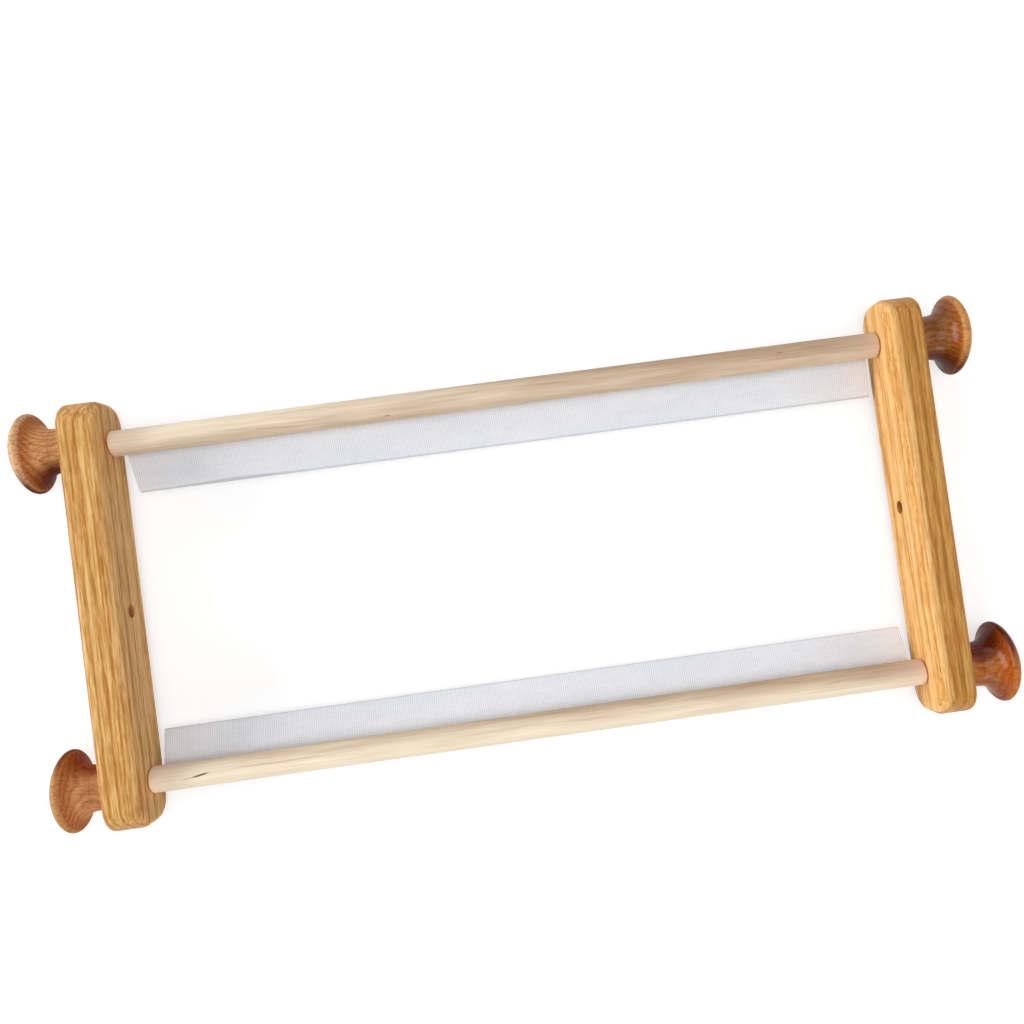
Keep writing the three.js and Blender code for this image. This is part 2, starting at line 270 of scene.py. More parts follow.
def honey_oak(name, pith, ring, tones, pore, sapwood_and_painted_light):
    """Planed oak under a thin satin coat: honey coloured, with a ragged streak of darker pores each year.
    tones go from its darkest fibres to its palest. sapwood_and_painted_light is paler wood on one side, and
    painted light where its tones are far paler: the X where it starts, the X where it is full, its own tones."""
    material, tree, shader = start_material(
        name, Coat_Weight=0.08, Coat_Roughness=0.3, Roughness=0.55, Specular_IOR_Level=0.12
    )
    place = add(tree, "TexCoord", output="Object")
    rings = growth_rings(tree, place, 1, pith, ring, ((120 * MM, 10 * MM, 0.9), (22 * MM, 3 * MM, 0.45)))
    year = add(tree, "Math", {0: rings}, operation="FRACT")
    early = add(tree, "ValToRGB", {0: year}, stops=[
        (0.0, 0.4), (0.08, 1.0), (0.24, 0.5), (0.5, 0.0), (1.0, 0.4),
    ])
    count = add(tree, "Math", {0: rings}, operation="FLOOR")
    depth = add(tree, "TexWhiteNoise", {"W": count}, noise_dimensions="1D")
    depth = add(tree, "MapRange", {0: depth, 3: 0.36, 4: 0.14})
    streaks = drawn_noise(tree, place, 1, 30 * MM, 1.1 * MM)
    dashes = drawn_noise(tree, place, 1, 8 * MM, 0.9 * MM)
    grain = add(tree, "Math", {0: dashes, 1: 0.6, 2: streaks}, operation="MULTIPLY_ADD")
    dip = add(tree, "Math", {0: early, 1: depth}, operation="MULTIPLY")
    grain = add(tree, "Math", {0: grain, 1: dip}, operation="SUBTRACT")
    start, full, sap_and_lit_tones = sapwood_and_painted_light
    inner, outer = (
        add(tree, "ValToRGB", {0: grain}, stops=list(zip((0.46, 0.62, 0.78, 0.95), shades)))
        for shades in (tones, sap_and_lit_tones)
    )
    side = add(tree, "SeparateXYZ", {0: place})
    # The paler side: paler wood, and painted light where its tones are drawn far paler
    sap = add(tree, "MapRange", {0: side, 1: start, 2: full})
    colour = add(tree, "Mix", {0: sap, 6: inner, 7: outer}, 2, data_type="RGBA")
    pores = drawn_noise(tree, place, 1, 4.5 * MM, 0.5 * MM)
    pores = add(tree, "MapRange", {0: pores, 1: 0.54, 2: 0.64}, interpolation_type="SMOOTHSTEP")
    porous = add(tree, "MapRange", {0: early, 3: 0.06, 4: 0.55})
    pores = add(tree, "Math", {0: pores, 1: porous}, operation="MULTIPLY")
    colour = add(tree, "Mix", {0: pores, 6: colour, 7: pore}, 2, data_type="RGBA")
    ends = end_grain(tree, add(tree, "TexCoord", output="Normal"), 1, 0.35, 0.95, 0.65)
    colour = add(tree, "Mix", {0: ends, 6: colour, 7: "#D29C6C"}, 2, data_type="RGBA")
    ring_lines = add(tree, "Math", {0: ends, 1: early}, operation="MULTIPLY")
    colour = add(tree, "Mix", {0: ring_lines, 6: colour, 7: "#B27C46"}, 2, data_type="RGBA")
    tree.links.new(colour, shader.inputs["Base Color"])
    dent = add(tree, "Bump", {"Height": pores, "Strength": 0.4, "Distance": 0.12 * MM}, invert=True)
    tree.links.new(dent, shader.inputs["Normal"])
    return material


def drilled_oak(name):
    """Raw oak inside a drilled hole: rough and without a coat, and a little darker and redder than the bar's
    face, partly for its raw end grain and partly as painted shade in the hole.
    """
    material, tree, shader = start_material(name, Roughness=0.9, Specular_IOR_Level=0.1)
    place = add(tree, "TexCoord", output="Object")
    torn = drawn_noise(tree, place, 1, 2 * MM, 0.5 * MM, 3)
    # Painted shade in part: the bore's colour is drawn a little darker than the bar's
    colour = add(tree, "ValToRGB", {0: torn}, stops=[(0.35, "#B06A34"), (0.6, "#D09058")])
    tree.links.new(colour, shader.inputs["Base Color"])
    dent = add(tree, "Bump", {"Height": torn, "Strength": 0.4, "Distance": 0.1 * MM})
    tree.links.new(dent, shader.inputs["Normal"])
    return material


def turned_oak(name, pith, stain, shade, neck, gloss):
    """Oak turned on a lathe, stained brown and lacquered. Its pores are short dark flecks that follow the cut
    from neck to rim, and the end grain that opens on the flare is stained deeper.
    stain is its pale wood, its pores, its end grain, its rim, where handling has rubbed it paler,
    and the colour of its painted shade. That shade is painted on the side that shade points to, as (y, z),
    and, by the share neck, on the turned neck."""
    material, tree, shader = start_material(
        name, Coat_Weight=gloss, Coat_Roughness=0.2, Roughness=0.6, Specular_IOR_Level=0.05
    )
    pale, dark, end, rubbed, painted_shade_colour = stain
    place = add(tree, "TexCoord", output="Object")
    normal = add(tree, "TexCoord", output="Normal")
    flat = add(tree, "VectorMath", {0: place, 1: (0, 1, 1)}, operation="MULTIPLY")
    radius = add(tree, "VectorMath", {0: flat}, "Value", operation="LENGTH")
    spoke = add(tree, "VectorMath", {0: flat}, operation="NORMALIZE")
    rings = growth_rings(tree, place, 0, pith, 2.4 * MM, ((22 * MM, 5 * MM, 1.2), (4 * MM, 0.9 * MM, 0.8)))
    year = add(tree, "Math", {0: rings}, operation="FRACT")
    early = add(tree, "ValToRGB", {0: year}, stops=[
        (0.0, 0.2), (0.14, 0.48), (0.5, 0.05), (0.8, 0.0), (1.0, 0.2),
    ])
    colour = add(tree, "Mix", {0: early, 6: pale, 7: dark}, 2, data_type="RGBA")
    ends = end_grain(tree, normal, 0, 0.5, 0.85, 0.7)
    colour = add(tree, "Mix", {0: ends, 6: colour, 7: end}, 2, data_type="RGBA", blend_type="MULTIPLY")
    rim = add(tree, "MapRange", {0: radius, 1: KNOB_RUBBED_FROM, 2: KNOB_RUBBED_TO, 4: 0.75})
    colour = add(tree, "Mix", {0: rim, 6: colour, 7: rubbed}, 2, data_type="RGBA")
    for fleck_length, fleck_width, share in ((5 * MM, 0.8 * MM, 0.5), (2.2 * MM, 0.4 * MM, 0.42)):
        lengthwise = add(tree, "VectorMath", {0: place, 1: (1 / fleck_length, 0, 0)}, operation="MULTIPLY")
        turned = [FLECK_RADIUS / fleck_width] * 3
        around = add(tree, "VectorMath", {0: spoke, 1: turned, 2: lengthwise}, operation="MULTIPLY_ADD")
        outward = add(tree, "Math", {0: radius, 1: 2 / fleck_length}, operation="MULTIPLY")
        flecks = add(tree, "TexNoise", {
            "Vector": around, "W": outward, "Scale": 1, "Detail": 2,
        }, noise_dimensions="4D")
        flecks = add(tree, "MapRange", {
            0: flecks, 1: 0.47, 2: 0.7, 4: share,
        }, interpolation_type="SMOOTHSTEP")
        colour = add(tree, "Mix", {0: flecks, 6: colour, 7: dark}, 2, data_type="RGBA")
    # Painted shade: the knob is drawn darker on the side facing the frame's middle and, by the share neck, on
    # its turned neck
    facing = add(tree, "VectorMath", {0: normal, 1: (0, *shade)}, "Value", operation="DOT_PRODUCT")
    thick = add(tree, "MapRange", {0: facing, 1: 0, 2: 0.75}, interpolation_type="SMOOTHSTEP")
    painted_neck_shade = add(tree, "MapRange", {
        0: radius, 1: KNOB_FLARE_RADIUS, 2: KNOB_NECK_RADIUS, 4: neck,
    }, interpolation_type="SMOOTHSTEP")
    thick = add(tree, "Math", {0: thick, 1: painted_neck_shade}, operation="MAXIMUM")
    colour = add(tree, "Mix", {0: thick, 6: colour, 7: painted_shade_colour}, 2, data_type="RGBA", blend_type="MULTIPLY")
    tree.links.new(colour, shader.inputs["Base Color"])
    dent = add(tree, "Bump", {"Height": flecks, "Strength": 0.25, "Distance": 0.1 * MM}, invert=True)
    tree.links.new(dent, shader.inputs["Normal"])
    return material


def sanded_birch(name, half_length, tan_share, marks):
    """A sanded birch dowel without varnish: cream wood that passes into tan, and a little pinker towards both
    ends.
    tan_share is the tan's share: plain, along the rod, across it, and how the two twist together. marks are
    dark streaks in the grain: place along and across, half length and half width, all in mm, turn in degrees,
    colour and share."""
    material, tree, shader = start_material(name, Roughness=0.62, Specular_IOR_Level=0.25)
    place = add(tree, "TexCoord", output="Object")
    fine = drawn_noise(tree, place, 0, 38 * MM, 1.0 * MM, 4)
    slow = drawn_noise(tree, place, 0, 50 * MM, 4.5 * MM, 3)
    plain, along, across, twist = tan_share
    run = add(tree, "SeparateXYZ", {0: place}, "X")
    side = add(tree, "SeparateXYZ", {0: place}, "Y")
    side = add(tree, "Math", {0: side, 1: 1 / ROD_RADIUS}, operation="MULTIPLY")
    share = add(tree, "Math", {0: run, 1: along / half_length, 2: plain - 0.35}, operation="MULTIPLY_ADD")
    turning = add(tree, "Math", {0: run, 1: twist / half_length, 2: across}, operation="MULTIPLY_ADD")
    share = add(tree, "Math", {0: turning, 1: side, 2: share}, operation="MULTIPLY_ADD")
    share = add(tree, "Math", {0: slow, 1: 0.7, 2: share}, operation="MULTIPLY_ADD")
    tan_mix = add(tree, "MapRange", {0: share, 1: -0.05, 2: 1.05}, interpolation_type="SMOOTHSTEP")
    sap = add(tree, "ValToRGB", {0: fine}, stops=[(0.3, "#F1DEC2"), (0.5, "#FAEAD0"), (0.75, "#FDF2DE")])
    tan = add(tree, "ValToRGB", {0: fine}, stops=[(0.3, "#AC8F73"), (0.5, "#BA9E82"), (0.75, "#C8AD91")])
    colour = add(tree, "Mix", {0: tan_mix, 6: sap, 7: tan}, 2, data_type="RGBA")
    for (x, y), half, width, turn, mark_colour, strength in marks:
        moved = add(tree, "Mapping", {
            "Vector": place, "Location": (x * MM, y * MM, ROD_RADIUS),
            "Rotation": (0, 0, math.radians(turn)), "Scale": (half * MM, width * MM, ROD_RADIUS),
        }, vector_type="TEXTURE")
        near = add(tree, "VectorMath", {0: moved}, "Value", operation="LENGTH")
        ragged = add(tree, "Math", {0: fine, 1: 1.2, 2: near}, operation="MULTIPLY_ADD")
        mark = add(tree, "MapRange", {
            0: ragged, 1: 1.6, 2: 0.9, 4: strength,
        }, interpolation_type="SMOOTHSTEP")
        colour = add(tree, "Mix", {0: mark, 6: colour, 7: mark_colour}, 2, data_type="RGBA")
    from_middle = add(tree, "Math", {0: run}, operation="ABSOLUTE")
    pinker_end = add(tree, "MapRange", {
        0: from_middle, 1: half_length - PINKER_END_LENGTH, 2: half_length, 4: 0.45,
    })
    colour = add(tree, "Mix", {0: pinker_end, 6: colour, 7: "#E6C8B4"}, 2, data_type="RGBA")
    tree.links.new(colour, shader.inputs["Base Color"])
    dent = add(tree, "Bump", {"Height": fine, "Strength": 0.2, "Distance": 0.06 * MM})
    tree.links.new(dent, shader.inputs["Normal"])
    return material


def woven_cotton(name):
    """Bleached cotton tape in a ribbed weave: a plain white, matt, with a soft sheen on its fibres, and
    painted greyer as painted shade where its free edge turns down. Its ribs are drawn a little coarser than
    real ones, because half a millimetre wouldn't show."""
    material, tree, shader = start_material(
        name, Roughness=0.92, Sheen_Weight=0.15, Sheen_Roughness=0.5, Specular_IOR_Level=0.2
    )
    place = add(tree, "Attribute", output="Vector", attribute_name="tape_place")
    waves = []
    for axis, pitch in (("X", RIB_PITCH), ("Y", WARP_PITCH)):
        run = add(tree, "SeparateXYZ", {0: place}, axis)
        turns = add(tree, "Math", {0: run, 1: TURN / pitch}, operation="MULTIPLY")
        waves.append(add(tree, "Math", {0: turns}, operation="COSINE"))
    ribs, warps = waves
    weave = add(tree, "Math", {0: warps, 1: 0.45, 2: ribs}, operation="MULTIPLY_ADD")
    groove = add(tree, "MapRange", {0: weave, 1: 0.4, 2: -1.3}, interpolation_type="SMOOTHSTEP")
    worn = drawn_noise(tree, place, 0, 9 * MM, 3 * MM)
    worn = add(tree, "MapRange", {
        0: worn, 1: 0.35, 2: 0.65, 3: 0.42, 4: 0.66,
    }, interpolation_type="SMOOTHSTEP")
    groove = add(tree, "Math", {0: groove, 1: worn}, operation="MULTIPLY")
    cloud = drawn_noise(tree, place, 0, 70 * MM, 20 * MM)
    cloth = add(tree, "ValToRGB", {0: cloud}, stops=[(0.3, "#E9ECF2"), (0.55, "#EEF0F5"), (0.75, "#F3F4F7")])
    colour = add(tree, "Mix", {0: groove, 6: cloth, 7: "#CFD3DD"}, 2, data_type="RGBA", blend_type="MULTIPLY")
    # Painted shade: where the free edge turns down, the cloth is drawn greyer
    from_fixed = add(tree, "SeparateXYZ", {0: place}, "Y")
    from_free = add(tree, "Math", {0: TAPE_WIDTH, 1: from_fixed}, operation="SUBTRACT")
    lip = add(tree, "SeparateXYZ", {0: place}, "Z")
    in_lip = add(tree, "Math", {0: from_free, 1: lip}, operation="DIVIDE")
    turned_down = add(tree, "MapRange", {
        0: in_lip, 1: 1.25, 2: 0.6, 4: 0.75,
    }, interpolation_type="SMOOTHSTEP")
    colour = add(tree, "Mix", {0: turned_down, 6: colour, 7: "#C2C6CE"}, 2, data_type="RGBA")
    tree.links.new(colour, shader.inputs["Base Color"])
    fuzz = add(tree, "TexNoise", {"Vector": place, "Scale": 1 / (0.25 * MM), "Detail": 3})
    threads = add(tree, "Math", {0: fuzz, 1: 0.5, 2: warps}, operation="MULTIPLY_ADD")
    raised = add(tree, "Bump", {"Height": threads, "Strength": 0.2, "Distance": 0.04 * MM})
    tree.links.new(raised, shader.inputs["Normal"])
    return material


def worked_metal(name, colour, roughness, scratch):
    """Bright metal with a fine uneven polish, as stamping, rolling or plating leaves it."""
    material, tree, shader = start_material(name, Metallic=1.0, Base_Color=colour)
    place = add(tree, "TexCoord", output="Object")
    spots = add(tree, "TexNoise", {"Vector": place, "Scale": 1 / scratch, "Detail": 4})
    dull = add(tree, "MapRange", {0: spots, 1: 0.3, 2: 0.7, 3: roughness - 0.1, 4: roughness + 0.12})
    tree.links.new(dull, shader.inputs["Roughness"])
    return material


# Meshes

def mesh_object(name, points, faces, material, smooth_degrees=40):
    """A mesh object of one material, with its faces pointing out, shaded as sharpen says."""
    mesh = bpy.data.meshes.new(name)
    mesh.from_pydata([tuple(p) for p in points], [], faces)
    mesh.validate()
    work = bmesh.new()
    work.from_mesh(mesh)
    bmesh.ops.recalc_face_normals(work, faces=work.faces)
    work.to_mesh(mesh)
    work.free()
    mesh.materials.append(material)
    made = bpy.data.objects.new(name, mesh)
    bpy.context.scene.collection.objects.link(made)
    sharpen(made, smooth_degrees)
    return made


def sharpen(made, smooth_degrees):
    """Shades a mesh smooth, and keeps the edges sharp where faces meet at more than the given angle."""
    made.data.polygons.foreach_set("use_smooth", [True] * len(made.data.polygons))
    made.data.set_sharp_from_angle(angle=math.radians(smooth_degrees))


def grid_faces(rows, columns, wrap_rows=False, wrap_columns=False, first=0):
    """The quads of a grid of points given row by row, joined round where it wraps."""
    faces = []
    for r in range(rows if wrap_rows else rows - 1):
        for c in range(columns if wrap_columns else columns - 1):
            across, down = (c + 1) % columns, (r + 1) % rows
            faces.append([first + i for i in (
                r * columns + c, r * columns + across, down * columns + across, down * columns + c,
            )])
    return faces


def lathe(name, profile, sides, material, shape=None, smooth_degrees=40):
    """A turned piece about X. profile is [(distance along X, radius)]; it starts and ends on the axis, or is
    closed. shape(along, angle, radius) may change a radius."""
    closed = profile[0][1] > 0
    inner = profile if closed else profile[1:-1]
    angles = np.arange(sides) * TURN / sides
    points = []
    for along, radius in inner:
        for angle in angles:
            r = shape(along, angle, radius) if shape else radius
            points.append((along, r * math.cos(angle), r * math.sin(angle)))
    faces = grid_faces(len(inner), sides, wrap_rows=closed, wrap_columns=True)
    if not closed:
        start, end = len(points), len(points) + 1
        points += [(profile[0][0], 0, 0), (profile[-1][0], 0, 0)]
        last = (len(inner) - 1) * sides
        for c in range(sides):
            across = (c + 1) % sides
            faces.append([start, across, c])
            faces.append([end, last + c, last + across])
    return mesh_object(name, points, faces, material, smooth_degrees)


def arc(centre, radius, start_degrees, end_degrees, steps):
    """Points of an arc as (along, radius) pairs."""
    angles = np.radians(np.linspace(start_degrees, end_degrees, steps + 1))
    return [(centre[0] + radius * math.cos(a), centre[1] + radius * math.sin(a)) for a in angles]


def bend(start, control, end, steps):
    """Points of a curve from start to end that is pulled towards control."""
    shares = np.linspace(0, 1, steps + 1)
    return [tuple(
        (1 - t) ** 2 * a + 2 * t * (1 - t) * b + t * t * c for a, b, c in zip(start, control, end)
    ) for t in shares]


def length_of(node):
    """A CAD node's length along X."""
    low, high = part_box(node)
    return high.x - low.x


def dress(made, node):
    """Lets a finished piece stand for its CAD node, on that node's body."""
    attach(made, body_of[node])
    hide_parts(node)
    return made


# Side bars

def bar_top(half, inset):
    """The upper half of the bar's side view as (y, z), from one end to the other, drawn smaller by inset."""
    radius = CORNER_RADIUS - inset
    straight = half.y - CORNER_RADIUS
    corner_z = half.z - CORNER_RADIUS
    steps = int(2 * straight / BAR_STEP)
    top = [
        (-straight - radius * math.cos(a), corner_z + radius * math.sin(a))
        for a in np.radians(np.linspace(0, 90, BAR_CORNER_STEPS + 1))
    ]
    top += [(-straight + 2 * straight * i / steps, half.z - inset) for i in range(1, steps)]
    return top + [(-y, z) for y, z in top[BAR_CORNER_STEPS::-1]]


def bar_ring(half, inset):
    """The whole outline of the bar's side view as (y, z): its top, one end, its bottom and the other end."""
    top = bar_top(half, inset)
    heights = np.linspace(1, -1, BAR_ROWS + 1)[1:-1]
    y_end, z_end = top[-1]
    right = [(y_end, z_end * h) for h in heights]
    bottom = [(y, -z) for y, z in reversed(top)]
    left = [(-y_end, -z_end * h) for h in heights]
    return top + right + bottom + left


def bar_face(points, first, x, half, centre):
    """The faces of one flat side of the bar. Its border is the ring of points that starts at first, and the
    points inside it are added."""
    top = bar_top(half, EDGE_ROUND)
    columns = len(top)
    index = {}
    for c, (y, z) in enumerate(top):
        for r in range(BAR_ROWS + 1):
            if r == 0:
                index[r, c] = first + c
            elif r == BAR_ROWS:
                index[r, c] = first + 2 * columns + BAR_ROWS - 2 - c
            elif c == columns - 1:
                index[r, c] = first + columns + r - 1
            elif c == 0:
                index[r, c] = first + 2 * columns + 2 * BAR_ROWS - 2 - r
            else:
                index[r, c] = len(points)
                points.append(Vector((x, y, z * (1 - 2 * r / BAR_ROWS))) + centre)
    return [
        [index[r, c], index[r, c + 1], index[r + 1, c + 1], index[r + 1, c]]
        for c in range(columns - 1) for r in range(BAR_ROWS)
    ]


def side_bar(node, material, bore_material):
    """A bar with rounded ends and sanded edges, drilled for its two bolts and, in the middle, for a stand."""
    low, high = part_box(node)
    centre = (low + high) / 2
    half = (high - low) / 2
    inner = half.x - EDGE_ROUND
    layers = [
        (-half.x + EDGE_ROUND * (1 - math.sin(a)), EDGE_ROUND * (1 - math.cos(a)))
        for a in np.radians(np.linspace(90, 0, BAR_ROUND_STEPS + 1))
    ]
    layers += [(-inner + 2 * inner * i / BAR_FLAT_STEPS, 0) for i in range(1, BAR_FLAT_STEPS)]
    layers += [(-x, inset) for x, inset in layers[BAR_ROUND_STEPS::-1]]
    points = []
    for x, inset in layers:
        ring = bar_ring(half, inset)
        points += [sanded(Vector((x, y, z)), half) + centre for y, z in ring]
    faces = grid_faces(len(layers), len(ring), wrap_columns=True)
    faces += bar_face(points, 0, -half.x, half, centre)
    faces += bar_face(points, (len(layers) - 1) * len(ring), half.x, half, centre)
    bar = mesh_object(node.replace("side_bar", "oak_bar"), points, faces, material)
    for at, radius in (
        (joint_at["upper_rod_turn"].y, BOLT_HOLE_RADIUS),
        (joint_at["lower_rod_turn"].y, BOLT_HOLE_RADIUS),
        (0, STAND_HOLE_RADIUS),
    ):
        drill(bar, Vector((centre.x, at, centre.z)), half.x, radius, bore_material)
    sharpen(bar, BAR_SMOOTH_DEGREES)
    return dress(bar, node)


def sanded(point, half):
    """A point on a bar's edge, drawn in a little where hand sanding took more."""
    inset = max(0.0, abs(point.x) - (half.x - EDGE_ROUND)) / EDGE_ROUND
    wander = noise.noise(point * Vector(SANDING_WANDER))
    fade = min(1.0, inset * 2) * (1 if inset < 1 else 0)
    pull = HAND_SANDING * fade * (0.5 + 0.5 * wander)
    return Vector((point.x, point.y * (1 - pull / half.y), point.z * (1 - pull / half.z)))


def drill(bar, place, half_thickness, radius, material):
    """Bores one hole along X through a bar, with a softened rim at both mouths."""
    profile = [
        (-half_thickness - HOLE_MOUTH, 0), (-half_thickness - HOLE_MOUTH, radius + 2 * HOLE_MOUTH),
        (-half_thickness, radius + HOLE_MOUTH), (-half_thickness + HOLE_MOUTH, radius),
    ]
    profile += [(-along, r) for along, r in reversed(profile)]
    cutter = lathe("bit", profile, HOLE_SIDES, material)
    cutter.location = place
    cutting = bar.modifiers.new("hole", "BOOLEAN")
    cutting.object = cutter
    cutting.operation = "DIFFERENCE"
    cutting.solver = "EXACT"
    cutting.material_mode = "TRANSFER"
    bpy.context.view_layer.update()
    evaluated = bar.evaluated_get(bpy.context.evaluated_depsgraph_get())
    drilled = bpy.data.meshes.new_from_object(evaluated)
    bar.modifiers.clear()
    bar.data = drilled
    bpy.data.objects.remove(cutter)


# Rods, webbing and staples

def rod(row, material):
    """A dowel with softened ends, bored at each end for its bolt."""
    node = f"{row}_rod"
    half = length_of(node) / 2
    axis = joint_at[f"{row}_rod_turn"]
    straight = half - ROD_END_ROUND
    soft = arc((straight, ROD_RADIUS - ROD_END_ROUND), ROD_END_ROUND, 90, 0, ROD_END_STEPS)
    body = [(-straight + 2 * straight * i / ROD_STEPS, ROD_RADIUS) for i in range(1, ROD_STEPS)]
    bore = half - ROD_BORE_DEPTH
    right = [*soft, (half, ROD_BORE_RADIUS), (bore, ROD_BORE_RADIUS), (bore, 0)]
    left = [(-along, radius) for along, radius in reversed(right)]
    def worn(along, angle, radius):
        if radius < ROD_RADIUS - ROD_END_ROUND:
            return radius
        round_y = math.cos(angle) * ROD_WANDER_ROUND + axis.y * ROD_WANDER_APART
        round_z = math.sin(angle) * ROD_WANDER_ROUND
        uneven = noise.noise(Vector((along * ROD_WANDER, round_y, round_z)))
        return radius - ROD_OVAL * (0.5 + 0.5 * uneven)
    made = lathe(f"{row}_birch_rod", left + body + right, ROD_SIDES, material, worn)
    made.location = axis
    return dress(made, node)


def row_turn(row, turn):
    """Turns what is made for the upper rod, by turn about the rod, and half round for the lower one."""
    return Matrix.Rotation(0 if row == "upper" else math.pi, 4, "Z") @ Matrix.Rotation(turn, 4, "X")


def tape_section(fixed):
    """The webbing's section in the rod's frame, as rows of y, z, the turn of its normal, the distance from
    its fixed edge, and the share of its free width."""
    rows = []
    wrap = fixed / TAPE_RADIUS
    for i in range(TAPE_STEPS_FIXED):
        turn = wrap * (1 - i / TAPE_STEPS_FIXED)
        place = fixed * i / TAPE_STEPS_FIXED
        rows.append((TAPE_RADIUS * math.sin(turn), -TAPE_RADIUS * math.cos(turn), turn, place, 0))
    free = TAPE_WIDTH - fixed
    for i in range(TAPE_STEPS_FREE + 1):
        reach = i / TAPE_STEPS_FREE
        turn = -2 * math.atan2(TAPE_SAG, free) * reach
        drop = TAPE_RADIUS + TAPE_SAG * reach * reach
        rows.append((-free * reach, -drop, turn, fixed + free * reach, reach))
    return rows


def sheet_faces(rows, columns):
    """The faces of a sheet with some thickness: two grids of points and the strip that joins their edges."""
    under = rows * columns
    faces = grid_faces(rows, columns) + grid_faces(rows, columns, first=under)
    border = list(range(columns))
    border += [r * columns + columns - 1 for r in range(1, rows)]
    border += [(rows - 1) * columns + c for c in range(columns - 2, -1, -1)]
    border += [r * columns for r in range(rows - 2, 0, -1)]
    for here, after in zip(border, border[1:] + border[:1]):
        faces.append([here, after, after + under, here + under])
    return faces


def webbing(row, material):
    """A strip of ribbed tape, fixed under the rod and free at its other edge, with one end cut on a slant.
    Each point keeps its place on the tape for the weave: along it, across it, and how far the free edge
    turns down there."""
    node = f"{row}_webbing"
    length = length_of(node)
    half = length / 2
    fixed, slant = TAPE_FIXED[row], TAPE_END_SLANT[row]
    rows = tape_section(fixed)
    columns = int(length / RIB_PITCH * RIB_STEPS) + 1
    y, z, turn, across, reach = (np.array(part)[:, None] for part in zip(*rows))
    start = slant * reach - half
    x = start + (half - start) * np.linspace(0, 1, columns)[None, :]
    swell = np.exp(-((x - TAPE_WAVE_FROM_END + half) / TAPE_WAVE_HALF_LENGTH) ** 2)
    lip = TAPE_LIP[row] + TAPE_LIP_AT_WAVE[row] * swell
    turned_down = lip * np.clip(1 - (TAPE_WIDTH - across) / TAPE_LIP_BEND, 0, 1) ** 2
    wave = TAPE_WAVE_HEIGHT * reach ** 2 * swell - turned_down
    edge = np.minimum(across, TAPE_WIDTH - across)
    bound = np.where(np.abs(edge - SELVEDGE) < SELVEDGE_HALF_WIDTH, SELVEDGE_SHARE, 1)
    bound = bound * np.clip(edge / RIB_FADE, RIB_EDGE_SHARE, 1)
    ribs = RIB_HEIGHT / 2 * np.cos(TURN * x / RIB_PITCH) * bound
    thick = TAPE_THICKNESS / 2 * np.clip(edge / TAPE_EDGE, TAPE_EDGE_SHARE, 1)
    points = []
    for face in (1, -1):
        out = face * (thick - RIB_HEIGHT / 2 + ribs)
        grid = np.stack([x + 0 * y, y + np.sin(turn) * out, z + wave - np.cos(turn) * out], -1)
        points.append(grid.reshape(-1, 3))
    lay = row_turn(row, math.radians(TAPE_SLOPE_DEGREES[row])).to_3x3()
    laid = np.concatenate(points) @ np.array(lay).T + np.array(joint_at[f"{row}_rod_turn"])
    faces = sheet_faces(len(rows), columns)
    made = mesh_object(f"{row}_cotton_webbing", laid, faces, material, TAPE_SMOOTH_DEGREES)
    places = np.stack([x, across + 0 * x, lip + 0 * x], -1).reshape(-1, 3)
    places = np.concatenate([places, places]).astype(np.float32)
    stored = made.data.attributes.new("tape_place", "FLOAT_VECTOR", "POINT")
    stored.data.foreach_set("vector", places.ravel())
    dress(made, node)
    return made


def squared(value):
    """Draws a coordinate of the round wire's section out towards a square."""
    return math.copysign(
        abs(value) ** (1 - WIRE_SQUARE_SHARE) * (STAPLE_WIRE / 2) ** WIRE_SQUARE_SHARE, value
    )


def staple(node, row, material):
    """A bent wire with two chisel points, driven through the webbing into the rod."""
    low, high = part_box(node)
    middle = (low.x + high.x) / 2
    axis = joint_at[f"{row}_rod_turn"]
    crown = -(TAPE_RADIUS + TAPE_THICKNESS / 2 + STAPLE_GAP + STAPLE_WIRE / 2)
    tip = crown - STAPLE_WIRE / 2 + STAPLE_LEG
    reach = (STAPLE_CROWN - STAPLE_WIRE) / 2
    path = [(-reach, tip), (-reach, crown + STAPLE_BEND)]
    path += [
        (-reach + STAPLE_BEND * (1 - math.cos(a)), crown + STAPLE_BEND * (1 - math.sin(a)))
        for a in np.radians((30, 60, 90))
    ]
    path += [(-x, z) for x, z in reversed(path)]
    section = [
        (squared(STAPLE_WIRE / 2 * math.cos(a)), squared(STAPLE_WIRE / 2 * math.sin(a)))
        for a in np.arange(WIRE_SIDES) * TURN / WIRE_SIDES
    ]
    points = []
    last = len(path) - 1
    for i, (x, z) in enumerate(path):
        before, after = path[max(i - 1, 0)], path[min(i + 1, last)]
        run = Vector((after[0] - before[0], 0, after[1] - before[1])).normalized()
        sidewise = Vector((0, 1, 0)).cross(run)
        slant = STAPLE_POINT_SLANT if i in (0, last) else 0
        for u, v in section:
            points.append(Vector((x, 0, z)) + sidewise * u + Vector((0, v, -abs(v) * slant)))
    faces = grid_faces(len(path), WIRE_SIDES, wrap_columns=True)
    faces.append(list(range(WIRE_SIDES)))
    faces.append(list(range(last * WIRE_SIDES, len(path) * WIRE_SIDES)))
    turn = TAPE_FIXED[row] / 2 / TAPE_RADIUS + math.radians(TAPE_SLOPE_DEGREES[row])
    spin = row_turn(row, turn)
    placed = [axis + spin @ point for point in points]
    shift = Vector((middle - sum(point.x for point in placed) / len(placed), 0, 0))
    made = mesh_object(node + "_wire", [point + shift for point in placed], faces, material)
    return dress(made, node)


# Bolts, washers, knobs and inserts, each made along +X and then laid at its own corner

def thread(along, angle, pitch, depth):
    """How far a thread's surface lies under its crest, for a right-hand thread."""
    phase = (along / pitch - angle / TURN) % 1
    return depth * min(1.0, THREAD_STEEPNESS * abs(2 * phase - 1))


